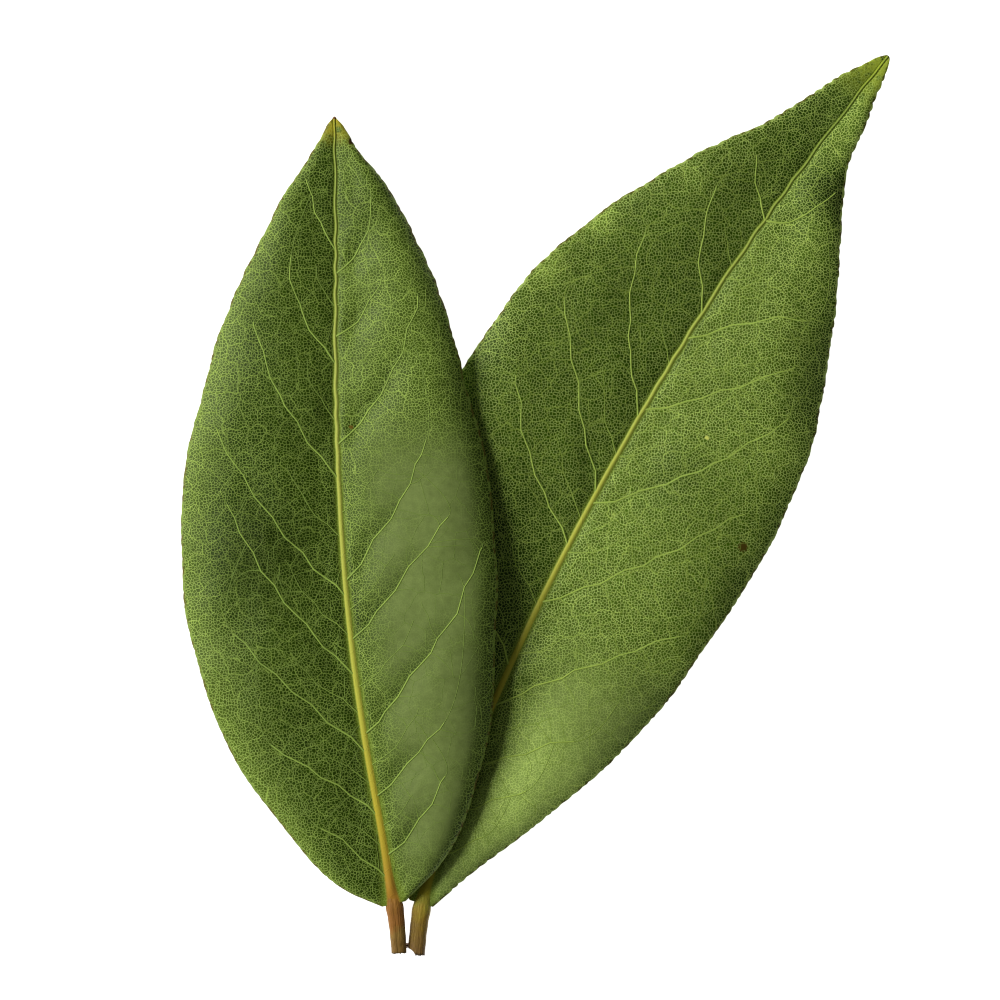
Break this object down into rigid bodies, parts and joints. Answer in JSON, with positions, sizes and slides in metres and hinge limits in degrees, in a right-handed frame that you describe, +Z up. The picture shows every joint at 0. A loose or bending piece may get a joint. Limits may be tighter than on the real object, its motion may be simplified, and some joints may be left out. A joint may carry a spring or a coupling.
{
  "type": "bay leaf sprig",
  "caption": "Sprig of sweet bay lying flat: leathery pointed leaves, one over the other, joined at their cut stalks by torn twig bark.",
  "frame": {"origin": "under the middle of the sprig's bounding box, on the surface it lies on", "axes": "+Y from the cut stalks towards the leaf tips, +Z up out of the surface, +X to the right as the camera looks down"},
  "size_m": [0.0808, 0.1026, 0.0057],
  "materials": {
    "front_blade": "satin",
    "front_stalk": "satin",
    "back_blade": "satin",
    "back_stalk": "satin",
    "bark": "matte"
  },
  "bodies": {
    "root": {"front_leaf_blade": "front_blade", "front_leaf_stalk": "front_stalk", "back_leaf_blade": "back_blade", "back_leaf_stalk": "back_stalk", "twig_bark": "bark"}
  },
  "joints": []
}
